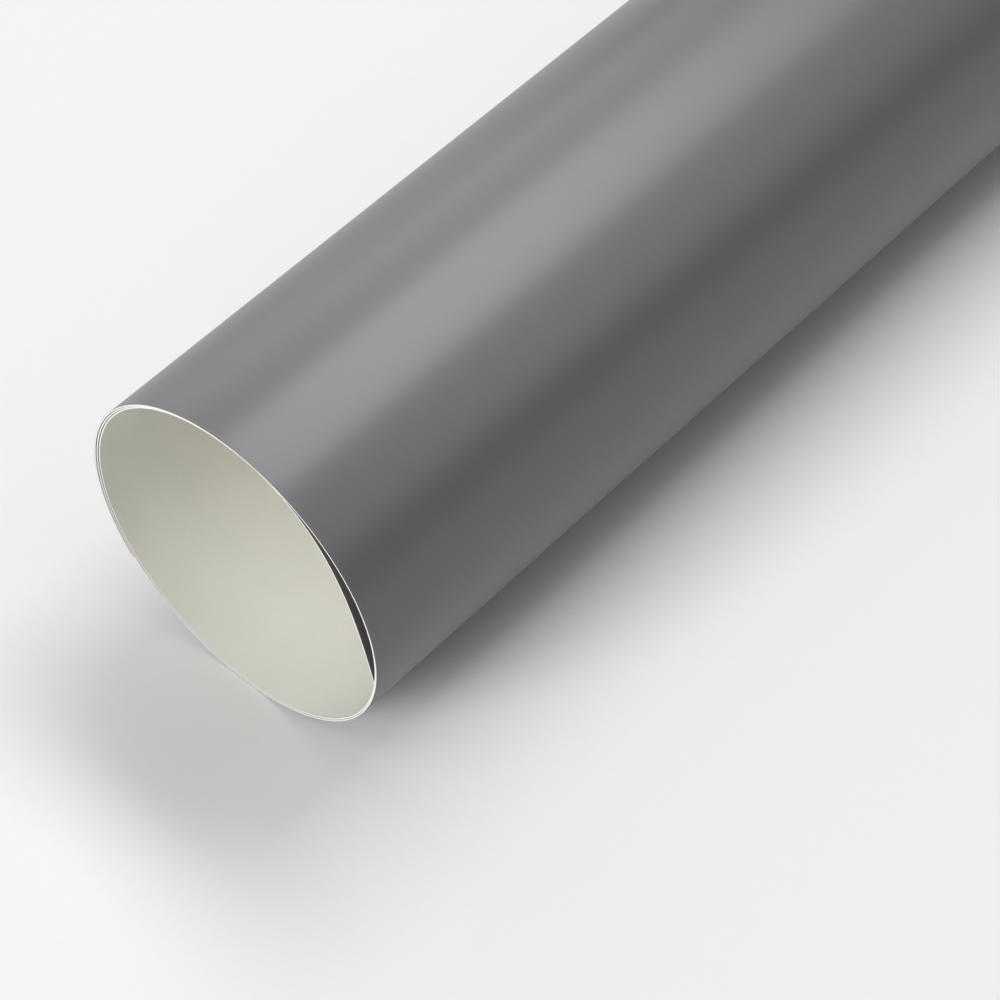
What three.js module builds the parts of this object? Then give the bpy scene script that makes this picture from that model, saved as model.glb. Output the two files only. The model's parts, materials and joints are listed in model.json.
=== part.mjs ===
// A loosely rolled sheet of studio backdrop paper, lying on its side.
//
// The sheet is a three-ply laminate: a grey face coat outside, a white base, an ivory back coat
// inside. It is rolled a little over two and a half turns, face out, with no core tube. The roll's
// axis runs along X and the roll stands on z = 0.
//
// The sheet is followed by its path angle p, in degrees: p = 0 is the outer tail edge and p grows
// inwards. The ring angle p + TAIL_ANGLE is measured about the axis, from +Y over the top to -Y.
import * as THREE from "three";

// Sheet, in millimetres
const SHEET_WIDTH = 700; // along the roll's axis
const FACE = 0.08; // grey coat
const BASE = 0.34; // white paper
const BACK = 0.06; // ivory coat
const BOND = 0.01; // glue line between two plies
const THICKNESS = FACE + BASE + BACK + 2 * BOND;

// Roll, in millimetres and degrees
const OUTER_RADIUS = 62.3;
const FULL_TURN = 360;
const TAIL_ANGLE = -37.5; // ring angle of the outer tail edge
const FLOOR_ANGLE = 270; // ring angle of the line that the roll rests on
const FLAT_HALF_ANGLE = 7.5; // the roll's weight flattens it this far each side of that line
const TIGHT_GAP = 0.2; // air between two turns where they lie closest
const LOOSE_GAP = 0.15; // extra air where they lie loosest
const LOOSE_SIDE = 30; // ring angle of the loosest place
const SECTION_STEP = 5; // between two points of the section

// The outer turn is cut into curved strips, so that it can open along its outer surface
const STRIPS = 12;
const STRIP_ANGLE = 25;
const CREASE = 0.01; // half the clearance between two neighbouring strips
const OUTER_TURN_END = STRIPS * STRIP_ANGLE;
const FLOOR_STRIP_END = OUTER_TURN_END + STRIP_ANGLE;

// The free inner edge stands off the turn around it
const EDGE_START = 860;
const EDGE_END = 945;
const EDGE_BULGE = 5;
const BULGE_PEAK = 4 / 27; // highest value of u^2 - u^3 between 0 and 1

const faceCoat = new THREE.MeshStandardMaterial({ color: 0x747475, roughness: 0.42, metalness: 0 });
const basePaper = new THREE.MeshStandardMaterial({ color: 0xf1f1ee, roughness: 0.85, metalness: 0 });
const backCoat = new THREE.MeshStandardMaterial({ color: 0xc6c4b6, roughness: 0.8, metalness: 0 });

// Each ply lies between two depths below the sheet's outer surface
const PLIES = [
  { name: "face_coat", from: 0, to: FACE, material: faceCoat },
  { name: "base_paper", from: FACE + BOND, to: FACE + BOND + BASE, material: basePaper },
  { name: "back_coat", from: THICKNESS - BACK, to: THICKNESS, material: backCoat },
];

function radians(degrees) {
  return (degrees * Math.PI) / 180;
}

// How far the free inner edge stands off: a bent strip, held at one end and resting on its tip
function standOff(p) {
  const u = Math.max((p - EDGE_START) / (EDGE_END - EDGE_START), 0);
  return (EDGE_BULGE / BULGE_PEAK) * (u ** 2 - u ** 3);
}

// Radius of the sheet's outer surface
function surfaceRadius(p) {
  const looseness = (1 + Math.cos(radians(p + TAIL_ANGLE - LOOSE_SIDE))) / 2;
  const pitch = THICKNESS + TIGHT_GAP + LOOSE_GAP * looseness;
  return OUTER_RADIUS - (pitch * p) / FULL_TURN - standOff(p);
}

// Depth of the flattened underside, below the axis, of the turn that p lies on
function flatDepth(p) {
  const turnStart = Math.floor(p / FULL_TURN) * FULL_TURN;
  const flatEnd = turnStart + FLOOR_ANGLE - TAIL_ANGLE + FLAT_HALF_ANGLE;
  return surfaceRadius(flatEnd) * Math.cos(radians(FLAT_HALF_ANGLE));
}

// A point of the section, in the plane across the axis: y along x, z along y
function sectionPoint(p, depth) {
  const a = radians(p + TAIL_ANGLE);
  const r = surfaceRadius(p) - depth;
  return new THREE.Vector2(r * Math.cos(a), Math.max(r * Math.sin(a), depth - flatDepth(p)));
}

// Section of one ply from path angle start to end, a crease short of its neighbours at both ends
function plySection(start, end, ply) {
  const steps = Math.round((end - start) / SECTION_STEP);
  const trim = (CREASE / OUTER_RADIUS) * (180 / Math.PI);
  const outside = [];
  const inside = [];
  for (let i = 0; i <= steps; i++) {
    const nudge = i === 0 ? trim : i === steps ? -trim : 0;
    const p = start + i * SECTION_STEP + nudge;
    outside.push(sectionPoint(p, ply.from));
    inside.unshift(sectionPoint(p, ply.to));
  }
  return new THREE.Shape([...outside, ...inside]);
}

// One named mesh for each ply of the sheet between two path angles
function sheetStretch(name, start, end) {
  const stretch = new THREE.Group();
  const acrossToWorld = new THREE.Matrix4().makeBasis(
    new THREE.Vector3(0, 1, 0),
    new THREE.Vector3(0, 0, 1),
    new THREE.Vector3(1, 0, 0),
  );
  for (const ply of PLIES) {
    const shape = plySection(start, end, ply);
    const body = new THREE.ExtrudeGeometry(shape, { depth: SHEET_WIDTH, bevelEnabled: false });
    body.applyMatrix4(acrossToWorld);
    const mesh = new THREE.Mesh(body, ply.material);
    mesh.name = `${name}_${ply.name}`;
    mesh.position.x = -SHEET_WIDTH / 2;
    stretch.add(mesh);
  }
  return stretch;
}

// The strips of the outer turn, numbered from the tail edge inwards
function outerTurn() {
  const turn = new THREE.Group();
  for (let i = 0; i < STRIPS; i++) {
    const name = `outer_turn_${String(i + 1).padStart(2, "0")}`;
    turn.add(sheetStretch(name, i * STRIP_ANGLE, (i + 1) * STRIP_ANGLE));
  }
  return turn;
}

const roll = new THREE.Group();
roll.add(outerTurn());
roll.add(sheetStretch("floor_strip", OUTER_TURN_END, FLOOR_STRIP_END));
roll.add(sheetStretch("inner_turns", FLOOR_STRIP_END, EDGE_START));
roll.add(sheetStretch("inner_edge", EDGE_START, EDGE_END));

// Stand the roll on z = 0, centred on the origin
const extent = new THREE.Box3().setFromObject(roll);
roll.position.set(0, -(extent.min.y + extent.max.y) / 2, -extent.min.z);

export default roll;
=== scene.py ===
"""A loosely rolled sheet of studio backdrop paper, grey outside and ivory inside, on a pale floor.

The sheet is followed by its path angle p, in degrees: p = 0 is the outer tail edge and p grows
inwards. The ring angle p + TAIL_ANGLE goes about the roll's axis, from +Y over the top to -Y.
"""
import json
import math

import bmesh
import bpy
from mathutils import Matrix, Vector


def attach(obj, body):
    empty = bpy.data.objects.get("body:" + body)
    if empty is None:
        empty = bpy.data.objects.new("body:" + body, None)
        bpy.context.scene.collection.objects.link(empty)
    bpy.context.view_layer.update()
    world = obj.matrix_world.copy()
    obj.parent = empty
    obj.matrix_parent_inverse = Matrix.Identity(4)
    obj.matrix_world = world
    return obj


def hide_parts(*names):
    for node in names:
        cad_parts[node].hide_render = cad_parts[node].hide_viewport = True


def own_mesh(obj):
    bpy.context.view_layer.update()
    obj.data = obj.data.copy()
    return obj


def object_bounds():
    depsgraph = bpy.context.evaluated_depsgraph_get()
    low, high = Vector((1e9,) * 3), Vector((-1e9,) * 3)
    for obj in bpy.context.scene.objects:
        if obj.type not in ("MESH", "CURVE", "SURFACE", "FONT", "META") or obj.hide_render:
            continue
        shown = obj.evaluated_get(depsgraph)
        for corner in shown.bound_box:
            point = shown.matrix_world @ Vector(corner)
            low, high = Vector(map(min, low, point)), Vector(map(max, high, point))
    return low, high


bl_info = {
    "name": "Backdrop paper roll",
    "version": (1, 0, 0),
    "blender": (4, 5, 0),
    "location": "View3D > Sidebar > Backdrop",
    "description": "Makes a rolled sheet of coated backdrop paper around its packed frame",
    "category": "Add Mesh",
}

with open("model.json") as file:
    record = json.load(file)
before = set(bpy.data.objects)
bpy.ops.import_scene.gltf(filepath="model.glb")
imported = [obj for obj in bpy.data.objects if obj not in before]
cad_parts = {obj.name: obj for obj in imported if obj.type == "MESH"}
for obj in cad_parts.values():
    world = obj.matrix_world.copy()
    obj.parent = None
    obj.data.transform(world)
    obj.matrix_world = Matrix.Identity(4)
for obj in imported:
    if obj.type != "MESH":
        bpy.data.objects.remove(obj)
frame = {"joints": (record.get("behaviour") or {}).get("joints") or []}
CAD_LOW, CAD_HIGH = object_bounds()
MM = 0.001

# Roll's section, in degrees
FULL_TURN = 360
TAIL_ANGLE = -37.5  # ring angle of the outer tail edge
FLOOR_ANGLE = 270  # ring angle of the line that the roll rests on
FLAT_HALF_ANGLE = 7.5  # the roll's weight flattens it this far each side of that line
LOOSE_SIDE = -25  # ring angle where the turns lie loosest
HINGE_SIDE = 30  # ring angle where the hinges leave the most air under the outer turn
OUTER_TURN_END = 300
EDGE_START = 860
EDGE_END = 945
BULGE_PEAK = 4 / 27  # highest value of u^2 - u^3 between 0 and 1

# Outer turn: six strips, each hinged to the next one inwards
STRIPS = 6
STRIP_ANGLE = OUTER_TURN_END / STRIPS
NODES_PER_STRIP = 2
LAID_LIFT = 0.29 * MM  # lift meant for the innermost strip once it lies unrolled
LAID_STEP = 0.104 * MM  # and for each strip further out this much more, as the hinges run downhill

# Mesh
FACET = 1.0  # degrees of the section
END_FACET = 0.25  # the first and last facet, so that neighbouring strips shade as one
LENGTHWISE_FACETS = 8
EDGE_TURN = 30  # degrees between faces past which an edge is sharp

# Finishes
PAPER_IOR = 1.5
COAT_IOR = 1.55
SIZED_IOR = 1.48
PAINT_IOR = 1.45
EDGE_BAND_WIDTH = 1.6 * MM  # how far the lighter, rougher band reaches in from a cut edge
EDGE_BAND_LIGHTENING = 1.3  # how much lighter that band is than the rest of the coat

# Stage, in metres and degrees
FLOOR_DROP = 0.3 * MM
FLOOR_SIZE = 14.0
END_CENTRE = Vector((CAD_LOW.x, 0.0, 0.0611))
CAMERA_OFFSET = Vector((-0.4380, -0.5040, 0.8588))  # from the near end's centre
CAMERA_YAW = 41.76
CAMERA_PITCH = -51.26
CAMERA_LENS = 123.75
SENSOR = 36.0
CAMERA_CLIP = (0.01, 100.0)
SKY = 0.02
SOFTBOXES = {  # along, lean, distance, size along and across, watts
    "overhead": (0.44, 9, 5.0, (1.2, 3.8), 127),
    "overhead_front": (0.47, -36, 5.0, (1.2, 4.6), 45),
    "overhead_back": (0.47, 52, 5.0, (1.2, 2.6), 31),
    "end": (-0.88, 5, 7.0, (3.1, 3.1), 345),
    "end_high": (-0.5, 7, 5.0, (2.2, 2.6), 32),
    "end_front": (-0.79, -35, 5.0, (2.2, 2.2), 12),
    "back": (0.3, 76, 5.0, (2.6, 2.0), 27),
}


def srgb(code):
    """A hex colour, as the linear colour that a shader takes."""
    def linear(v):
        return v / 12.92 if v <= 0.04045 else ((v + 0.055) / 1.055) ** 2.4
    return [linear(int(code[i:i + 2], 16) / 255) for i in (1, 3, 5)] + [1.0]


# ---------------------------------------------------------------- settings


class SheetSettings(bpy.types.PropertyGroup):
    width: bpy.props.FloatProperty(
        name="Width", description="Sheet's width, along the roll",
        default=CAD_HIGH.x - CAD_LOW.x, unit="LENGTH")
    face: bpy.props.FloatProperty(
        name="Face coat", description="Thickness of the grey coat",
        default=0.08 * MM, unit="LENGTH")
    base: bpy.props.FloatProperty(
        name="Base paper", description="Thickness of the white paper between the coats",
        default=0.34 * MM, unit="LENGTH")
    back: bpy.props.FloatProperty(
        name="Back coat", description="Thickness of the ivory coat",
        default=0.06 * MM, unit="LENGTH")
    bond: bpy.props.FloatProperty(
        name="Bond", description="Glue line between two plies",
        default=0.01 * MM, unit="LENGTH")


class RollSettings(bpy.types.PropertyGroup):
    radius: bpy.props.FloatProperty(
        name="Radius", description="Outer radius at the tail edge",
        default=62.3 * MM, unit="LENGTH")
    hinge_gap: bpy.props.FloatProperty(
        name="Hinge gap", description="Air that the outer turn's hinges leave under it",
        default=0.2 * MM, unit="LENGTH")
    hinge_slack: bpy.props.FloatProperty(
        name="Hinge slack", description="Extra air under the hinges on the loose side",
        default=0.15 * MM, unit="LENGTH")
    tight_gap: bpy.props.FloatProperty(
        name="Tight gap", description="Air between two turns where they lie closest",
        default=0.04 * MM, unit="LENGTH")
    loose_gap: bpy.props.FloatProperty(
        name="Loose gap", description="Air between two turns where they lie loosest",
        default=0.30 * MM, unit="LENGTH")
    bulge: bpy.props.FloatProperty(
        name="Edge bulge", description="How far the free inner edge stands off the turn around it",
        default=5.0 * MM, unit="LENGTH")
    creep: bpy.props.FloatProperty(
        name="Creep",
        description="How far each turn has slid along the roll past the one around it",
        default=0.25 * MM, unit="LENGTH")


class FinishSettings(bpy.types.PropertyGroup):
    face: bpy.props.FloatVectorProperty(
        name="Face coat", description="Colour of the satin coat outside",
        default=srgb("#646265"), size=4, subtype="COLOR")
    base: bpy.props.FloatVectorProperty(
        name="Base paper", description="Colour of the cut edge",
        default=srgb("#e9e9e6"), size=4, subtype="COLOR")
    back: bpy.props.FloatVectorProperty(
        name="Back coat", description="Colour of the coat inside",
        default=srgb("#efeee5"), size=4, subtype="COLOR")
    floor: bpy.props.FloatVectorProperty(
        name="Floor", description="Colour of the floor",
        default=srgb("#ebebeb"), size=4, subtype="COLOR")


# ---------------------------------------------------------------- materials


def add(tree, kind, links=None, **settings):
    """A node of one kind, with its settings, its socket values and the links into it."""
    node = tree.nodes.new(kind)
    for key, value in settings.items():
        setattr(node, key, value)
    for socket, source in (links or {}).items():
        if isinstance(source, bpy.types.NodeSocket):
            tree.links.new(source, node.inputs[socket])
        else:
            node.inputs[socket].default_value = source
    return node


def new_material(name):
    """An empty node material, with its tree."""
    made = bpy.data.materials.new(name)
    made.use_nodes = True
    made.node_tree.nodes.clear()
    return made, made.node_tree


def finish_material(tree, shader):
    """Sends the shader to the surface."""
    add(tree, "ShaderNodeOutputMaterial", {"Surface": shader.outputs["BSDF"]})


def on_sheet(tree):
    """The place on the flat sheet, in metres: across it, then along it from the tail edge."""
    return add(tree, "ShaderNodeUVMap", uv_map="sheet").outputs["UV"]


def in_object(tree):
    """The place on the object, in metres."""
    return add(tree, "ShaderNodeTexCoord").outputs["Object"]


def noise(tree, place, size, detail=2.0, stretch=(1, 1, 1)):
    """Noise between 0 and 1, with features of the given size in metres."""
    scaled = add(tree, "ShaderNodeMapping", {"Vector": place, "Scale": [s / size for s in stretch]})
    found = add(tree, "ShaderNodeTexNoise",
                {"Vector": scaled.outputs["Vector"], "Scale": 1.0, "Detail": detail})
    return found.outputs["Fac"]


def between(tree, value, low, high, source=(0.0, 1.0)):
    """value, taken from the source range to low..high."""
    return add(tree, "ShaderNodeMapRange",
               {"Value": value, "From Min": source[0], "From Max": source[1],
                "To Min": low, "To Max": high}).outputs["Result"]


def shade(tree, colour, factor):
    """The colour made lighter or darker by a factor around 1."""
    return add(tree, "ShaderNodeVectorMath", {0: colour[:3], 1: factor},
               operation="MULTIPLY").outputs["Vector"]


def times(tree, a, b):
    """Two values multiplied."""
    return add(tree, "ShaderNodeMath", {0: a, 1: b}, operation="MULTIPLY").outputs["Value"]


def bump(tree, height, distance, under=None):
    """A surface raised by height times a distance in metres, over another bump if there is one."""
    links = {"Height": height, "Strength": 1.0, "Distance": distance}
    if under is not None:
        links["Normal"] = under
    return add(tree, "ShaderNodeBump", links).outputs["Normal"]


def satin_coat(colour, width):
    """Calendered clay coat on paper: pressed smooth between rollers, it gives one broad, soft
    highlight along the roll and faint clouding in the grey; in patches along the cut edges the
    colour is made lighter and the coat rougher."""
    made, tree = new_material("calendered_clay_coat")
    sheet = on_sheet(tree)
    clouds = noise(tree, sheet, 14 * MM, 3.0)
    fibres = noise(tree, sheet, 0.9 * MM, 3.0, stretch=(1, 0.45, 1))  # drawn coarser than 0.05 mm
    tint = times(tree, between(tree, clouds, 0.97, 1.03), between(tree, fibres, 0.985, 1.015))
    across = add(tree, "ShaderNodeSeparateXYZ", {"Vector": sheet}).outputs["X"]
    offset = add(tree, "ShaderNodeMath", {0: across, 1: width / 2}, operation="SUBTRACT")
    distance = add(tree, "ShaderNodeMath", {0: offset.outputs["Value"]}, operation="ABSOLUTE")
    # in patches near each cut edge the colour is made lighter and the coat rougher
    edge_band = between(tree, distance.outputs["Value"], 0.0, 1.0, (width / 2 - EDGE_BAND_WIDTH, width / 2))
    patchy_edge_band = times(tree, edge_band, between(tree, noise(tree, sheet, 2.5 * MM), 0.0, 1.0, (0.4, 0.7)))
    colour = shade(tree, colour, times(tree, tint, between(tree, patchy_edge_band, 1.0, EDGE_BAND_LIGHTENING)))
    rough = add(tree, "ShaderNodeMath",
                {0: between(tree, fibres, 0.31, 0.37), 1: times(tree, patchy_edge_band, 0.12)},
                operation="ADD").outputs["Value"]
    waves = bump(tree, noise(tree, sheet, 9 * MM, 1.0), 0.012 * MM)
    tooth = bump(tree, fibres, 0.004 * MM, waves)
    shader = add(tree, "ShaderNodeBsdfPrincipled",
                 {"Base Color": colour, "Roughness": rough, "Normal": tooth, "IOR": COAT_IOR})
    finish_material(tree, shader)
    return made


def cut_paper(colour):
    """Guillotined base paper: the blade leaves a dry, bright, slightly fuzzy white edge."""
    made, tree = new_material("guillotined_base_paper")
    place = in_object(tree)
    fuzz = noise(tree, place, 0.5 * MM, 3.0)
    clouds = noise(tree, place, 6 * MM)
    tint = times(tree, between(tree, fuzz, 0.95, 1.03), between(tree, clouds, 0.98, 1.02))
    shader = add(tree, "ShaderNodeBsdfPrincipled",
                 {"Base Color": shade(tree, colour, tint),
                  "Roughness": between(tree, fuzz, 0.82, 0.95),
                  "Normal": bump(tree, fuzz, 0.02 * MM), "IOR": PAPER_IOR})
    finish_material(tree, shader)
    return made


def sized_back(colour):
    """Starch-sized ivory back: uncalendered, so it stays matt, with a visible fibre tooth and
    the slightly uneven tone of a rolled sheet."""
    made, tree = new_material("starch_sized_ivory_back")
    sheet = on_sheet(tree)
    clouds = noise(tree, sheet, 18 * MM, 3.0)
    fibres = noise(tree, sheet, 0.8 * MM, 4.0, stretch=(1, 0.4, 1))
    tint = times(tree, between(tree, clouds, 0.97, 1.03), between(tree, fibres, 0.97, 1.03))
    tooth = bump(tree, fibres, 0.015 * MM, bump(tree, noise(tree, sheet, 7 * MM), 0.02 * MM))
    shader = add(tree, "ShaderNodeBsdfPrincipled",
                 {"Base Color": shade(tree, colour, tint),
                  "Roughness": between(tree, fibres, 0.66, 0.8), "Normal": tooth,
                  "IOR": SIZED_IOR})
    finish_material(tree, shader)
    return made


def painted_floor(colour):
    """Matt white emulsion, rolled on: plain, with a hardly visible stipple."""
    made, tree = new_material("rolled_white_emulsion")
    place = in_object(tree)
    stipple = noise(tree, place, 3 * MM, 2.0)
    shader = add(tree, "ShaderNodeBsdfPrincipled",
                 {"Base Color": shade(tree, colour, between(tree, stipple, 0.99, 1.01)),
                  "Roughness": between(tree, stipple, 0.88, 0.94), "IOR": PAINT_IOR,
                  "Specular IOR Level": 0.2})
    finish_material(tree, shader)
    return made


# ---------------------------------------------------------------- the sheet's shape


def sheet_thickness(sheet):
    return sheet.face + sheet.base + sheet.back + 2 * sheet.bond


def stand_off(roll, p):
    """How far the free inner edge stands off: a bent strip, held at one end, resting on its tip."""
    u = max((p - EDGE_START) / (EDGE_END - EDGE_START), 0)
    return roll.bulge / BULGE_PEAK * (u ** 2 - u ** 3)


def looseness(p, side):
    """1 on the roll's loose side and 0 opposite it."""
    return (1 + math.cos(math.radians(p + TAIL_ANGLE - side))) / 2


def settling(roll, p):
    """How far a turn has sprung out against the one around it, from where the hinges leave it."""
    hinged = roll.hinge_gap + roll.hinge_slack * looseness(p, HINGE_SIDE)
    settled = roll.tight_gap + (roll.loose_gap - roll.tight_gap) * looseness(p, LOOSE_SIDE) ** 2
    turns, into = divmod(p, FULL_TURN)
    ramp = max((into - OUTER_TURN_END) / (FULL_TURN - OUTER_TURN_END), 0)
    return (hinged - settled) * (turns + ramp ** 2 * (3 - 2 * ramp))


def surface_radius(sheet, roll, p):
    """Radius of the sheet's outer surface."""
    pitch = sheet_thickness(sheet) + roll.hinge_gap + roll.hinge_slack * looseness(p, HINGE_SIDE)
    settled = roll.radius - pitch * p / FULL_TURN + settling(roll, p)
    return settled - stand_off(roll, p)


def flat_depth(sheet, roll, p):
    """Depth below the axis of the flattened underside of the turn that p lies on."""
    turn_start = math.floor(p / FULL_TURN) * FULL_TURN
    flat_end = turn_start + FLOOR_ANGLE - TAIL_ANGLE + FLAT_HALF_ANGLE
    return surface_radius(sheet, roll, flat_end) * math.cos(math.radians(FLAT_HALF_ANGLE))


def about_axis(sheet, roll, p, depth):
    """Section point about the roll's axis, at a depth below the sheet's outer surface."""
    a = math.radians(p + TAIL_ANGLE)
    r = surface_radius(sheet, roll, p) - depth
    return r * math.cos(a), max(r * math.sin(a), depth - flat_depth(sheet, roll, p))


def axis_place(sheet, roll):
    """The roll's axis, from the hinge where the outer turn leaves the floor."""
    hinge = next(j for j in frame["joints"] if j["name"] == "unroll")
    y, z = about_axis(sheet, roll, OUTER_TURN_END, 0)
    return hinge["pos_m"][1] - y, hinge["pos_m"][2] - z


def section_point(sheet, roll, p, depth):
    """Section point in the frame, at a depth below the sheet's outer surface."""
    y, z = about_axis(sheet, roll, p, depth)
    axis_y, axis_z = axis_place(sheet, roll)
    return axis_y + y, axis_z + z


def facet_angles(start, end):
    """Path angles of the section's corners between two path angles."""
    steps = round((end - start) / FACET)
    inner = [start + (end - start) * i / steps for i in range(1, steps)]
    return [start, start + END_FACET, *inner, end - END_FACET, end]


def path_lengths(sheet, roll, angles):
    """Distance along the sheet from its tail edge to each path angle."""
    whole = [i * FACET for i in range(round(EDGE_END / FACET) + 1)]
    points = [section_point(sheet, roll, p, 0) for p in whole]
    run = [0.0]
    for a, b in zip(points, points[1:]):
        run.append(run[-1] + math.dist(a, b))
    found = []
    for p in angles:
        i = min(int(p / FACET), len(whole) - 2)
        share = (p - whole[i]) / FACET
        found.append(run[i] * (1 - share) + run[i + 1] * share)
    return found


def section_rows(bm, sheet, roll, angles, lengths, depths):
    """Rows of corners along the roll, one for each path angle and depth, and each corner's place
    on the flat sheet."""
    across = [sheet.width * (j / LENGTHWISE_FACETS - 0.5) for j in range(LENGTHWISE_FACETS + 1)]
    rows = []
    on_flat = {}
    for p, along in zip(angles, lengths):
        slide = roll.creep * (p / FULL_TURN - 1)
        skins = []
        for depth in depths:
            y, z = section_point(sheet, roll, p, depth)
            skin = [bm.verts.new((x + slide, y, z)) for x in across]
            for vert, x in zip(skin, across):
                on_flat[vert] = (x + sheet.width / 2, along)
            skins.append(skin)
        rows.append(skins)
    return rows, on_flat


def close_rows(bm, rows):
    """Faces over the rows: the two skins, the two cut ends of the roll and the two long edges."""
    for (out_a, in_a), (out_b, in_b) in zip(rows, rows[1:]):
        for j in range(LENGTHWISE_FACETS):
            bm.faces.new((out_a[j], out_b[j], out_b[j + 1], out_a[j + 1]))
            bm.faces.new((in_a[j + 1], in_b[j + 1], in_b[j], in_a[j]))
        for j in (0, -1):
            bm.faces.new((out_a[j], in_a[j], in_b[j], out_b[j]))
    for outside, inside in (rows[0], rows[-1]):
        for j in range(LENGTHWISE_FACETS):
            bm.faces.new((outside[j], outside[j + 1], inside[j + 1], inside[j]))


def ply_mesh(name, sheet, roll, angles, depths):
    """A closed curved strip between two depths below the sheet's outer surface, and its length."""
    lengths = path_lengths(sheet, roll, angles)
    bm = bmesh.new()
    place = bm.loops.layers.uv.new("sheet")
    rows, on_flat = section_rows(bm, sheet, roll, angles, lengths, depths)
    close_rows(bm, rows)
    for face in bm.faces:
        for loop in face.loops:
            loop[place].uv = on_flat[loop.vert]
    bmesh.ops.recalc_face_normals(bm, faces=bm.faces)
    mesh = bpy.data.meshes.new(name)
    bm.to_mesh(mesh)
    bm.free()
    return mesh, lengths[-1] - lengths[0]


def ply_depths(sheet):
    """Each ply's outer and inner depth below the sheet's outer surface."""
    base_top = sheet.face + sheet.bond
    back_top = sheet_thickness(sheet) - sheet.back
    return {
        "face_coat": (0.0, sheet.face),
        "base_paper": (base_top, base_top + sheet.base),
        "back_coat": (back_top, back_top + sheet.back),
    }


def flatten_with_unroll(piece):
    """Gives the strip its own copy of its mesh."""
    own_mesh(piece)


def make_plies(context, name, start, end, body, nodes, lift=None):
    """The three plies of the sheet between two path angles, riding on one body. With a lift, each
    ply also gets its own copy of its mesh."""
    sheet, roll = context.scene.backdrop_sheet, context.scene.backdrop_roll
    angles = facet_angles(start, end)
    for ply, depths in ply_depths(sheet).items():
        mesh, length = ply_mesh(f"{name}_{ply}", sheet, roll, angles, depths)
        piece = bpy.data.objects.new(f"{name}_{ply}", mesh)
        context.collection.objects.link(piece)
        piece.data.materials.append(ply_material(context, ply))
        bpy.ops.object.select_all(action="DESELECT")
        piece.select_set(True)
        context.view_layer.objects.active = piece
        bpy.ops.object.shade_smooth_by_angle(angle=math.radians(EDGE_TURN))
        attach(piece, body)
        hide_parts(*[f"{node}_{ply}" for node in nodes])
        if lift is not None:
            flatten_with_unroll(piece)


def ply_material(context, ply):
    """The ply's material, made once."""
    finish, sheet = context.scene.backdrop_finish, context.scene.backdrop_sheet
    makers = {
        "face_coat": ("calendered_clay_coat", lambda: satin_coat(finish.face, sheet.width)),
        "base_paper": ("guillotined_base_paper", lambda: cut_paper(finish.base)),
        "back_coat": ("starch_sized_ivory_back", lambda: sized_back(finish.back)),
    }
    name, make = makers[ply]
    return bpy.data.materials.get(name) or make()


# ---------------------------------------------------------------- operators


class BACKDROP_OT_inner_turns(bpy.types.Operator):
    """Make the turns inside the outer one, with the stretch that lies on the floor"""
    bl_idname = "backdrop.inner_turns"
    bl_label = "Inner turns"

    def execute(self, context):
        make_plies(context, "coil", OUTER_TURN_END, EDGE_START, "roll",
                   ["floor_strip", "inner_turns"])
        return {"FINISHED"}


class BACKDROP_OT_outer_turn(bpy.types.Operator):
    """Make the outer turn's hinged strips, numbered from the tail edge inwards"""
    bl_idname = "backdrop.outer_turn"
    bl_label = "Outer turn"

    def execute(self, context):
        for i in range(STRIPS):
            first = NODES_PER_STRIP * i + 1
            nodes = [f"outer_turn_{first + k:02d}" for k in range(NODES_PER_STRIP)]
            lift = LAID_LIFT + LAID_STEP * (STRIPS - 1 - i)
            make_plies(context, f"outer_turn_{i + 1}", i * STRIP_ANGLE, (i + 1) * STRIP_ANGLE,
                       f"strip_{i + 1}", nodes, lift)
        return {"FINISHED"}


class BACKDROP_OT_inner_edge(bpy.types.Operator):
    """Make the free inner edge, which stands off the turn around it"""
    bl_idname = "backdrop.inner_edge"
    bl_label = "Inner edge"

    def execute(self, context):
        make_plies(context, "free_edge", EDGE_START, EDGE_END, "inner_edge", ["inner_edge"])
        return {"FINISHED"}


def soft_light(context, name, along, lean, distance, size, watts):
    """A softbox aimed at the roll. along is the share of its direction that runs along the roll,
    and lean is its angle from straight up towards +Y, seen along the roll."""
    lamp = bpy.data.lights.new(name, "AREA")
    lamp.shape = "RECTANGLE"
    lamp.size, lamp.size_y = size
    lamp.energy = watts
    light = bpy.data.objects.new(name, lamp)
    context.collection.objects.link(light)
    sideways = math.sqrt(1 - along ** 2)
    towards = Vector((along, sideways * math.sin(math.radians(lean)),
                      sideways * math.cos(math.radians(lean))))
    light.location = towards * distance
    across = towards.cross(Vector((1, 0, 0))).normalized()
    light.rotation_mode = "QUATERNION"
    turned = Matrix((across.cross(towards), across, towards)).transposed()
    light.rotation_quaternion = turned.to_quaternion()


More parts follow.
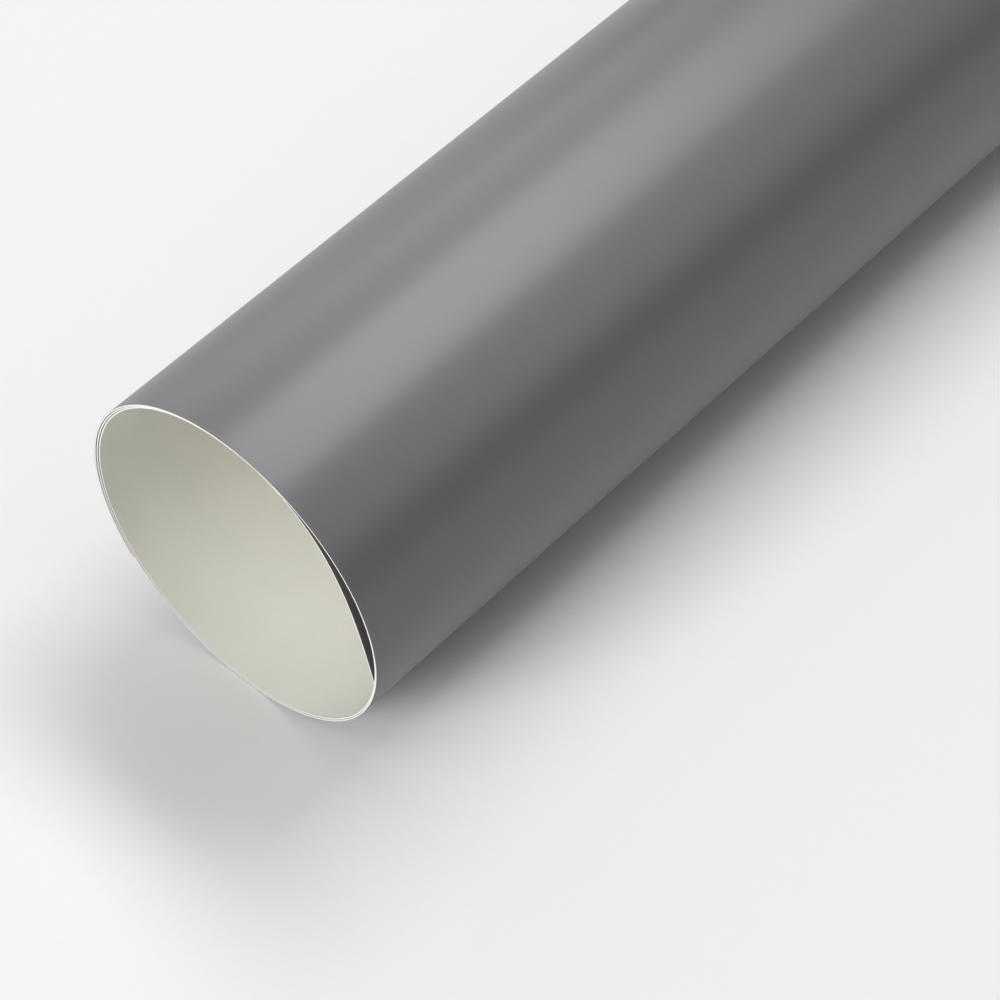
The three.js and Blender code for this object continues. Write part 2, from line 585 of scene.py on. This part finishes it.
class BACKDROP_OT_stage(bpy.types.Operator):
    """Make the floor, the soft lights and the camera"""
    bl_idname = "backdrop.stage"
    bl_label = "Stage"

    def execute(self, context):
        scene = context.scene
        bpy.ops.object.select_all(action="DESELECT")
        bpy.ops.mesh.primitive_plane_add(size=FLOOR_SIZE, location=(0, 0, -FLOOR_DROP))
        floor = context.active_object
        floor.name = "floor"
        floor.data.materials.append(painted_floor(scene.backdrop_finish.floor))

        for name, (along, lean, distance, size, watts) in SOFTBOXES.items():
            soft_light(context, name, along, lean, distance, size, watts)

        world = bpy.data.worlds.new("white_studio")
        scene.world = world
        world.use_nodes = True
        sky = world.node_tree.nodes["Background"]
        sky.inputs["Color"].default_value = srgb("#ffffff")
        sky.inputs["Strength"].default_value = SKY

        camera = bpy.data.objects.new("camera", bpy.data.cameras.new("camera"))
        context.collection.objects.link(camera)
        camera.data.lens = CAMERA_LENS
        camera.data.sensor_width = SENSOR
        camera.data.clip_start, camera.data.clip_end = CAMERA_CLIP
        camera.location = END_CENTRE + CAMERA_OFFSET
        pitch, yaw = math.radians(CAMERA_PITCH), math.radians(CAMERA_YAW)
        ahead = Vector((math.cos(pitch) * math.cos(yaw), math.cos(pitch) * math.sin(yaw),
                        math.sin(pitch)))
        camera.rotation_mode = "QUATERNION"
        camera.rotation_quaternion = ahead.to_track_quat("-Z", "Y")
        scene.camera = camera
        scene.view_settings.view_transform = "Standard"
        return {"FINISHED"}


class BACKDROP_PT_panel(bpy.types.Panel):
    """Lists the operators that make the roll"""
    bl_idname = "BACKDROP_PT_panel"
    bl_label = "Backdrop paper roll"
    bl_space_type = "VIEW_3D"
    bl_region_type = "UI"
    bl_category = "Backdrop"

    def draw(self, context):
        layout = self.layout
        for settings in ("backdrop_sheet", "backdrop_roll", "backdrop_finish"):
            group = getattr(context.scene, settings)
            for key in group.__annotations__:
                layout.prop(group, key)
        for operator in OPERATORS:
            layout.operator(operator.bl_idname)


OPERATORS = (BACKDROP_OT_inner_turns, BACKDROP_OT_outer_turn, BACKDROP_OT_inner_edge,
             BACKDROP_OT_stage)
SETTINGS = {"backdrop_sheet": SheetSettings, "backdrop_roll": RollSettings,
            "backdrop_finish": FinishSettings}


def register():
    for cls in (*SETTINGS.values(), *OPERATORS, BACKDROP_PT_panel):
        bpy.utils.register_class(cls)
    for name, group in SETTINGS.items():
        setattr(bpy.types.Scene, name, bpy.props.PointerProperty(type=group))


def unregister():
    for name in SETTINGS:
        delattr(bpy.types.Scene, name)
    for cls in (BACKDROP_PT_panel, *reversed(OPERATORS), *SETTINGS.values()):
        bpy.utils.unregister_class(cls)


def main():
    register()
    bpy.ops.backdrop.inner_turns()
    bpy.ops.backdrop.outer_turn()
    bpy.ops.backdrop.inner_edge()
    bpy.ops.backdrop.stage()


if __name__ == "__main__":
    main()
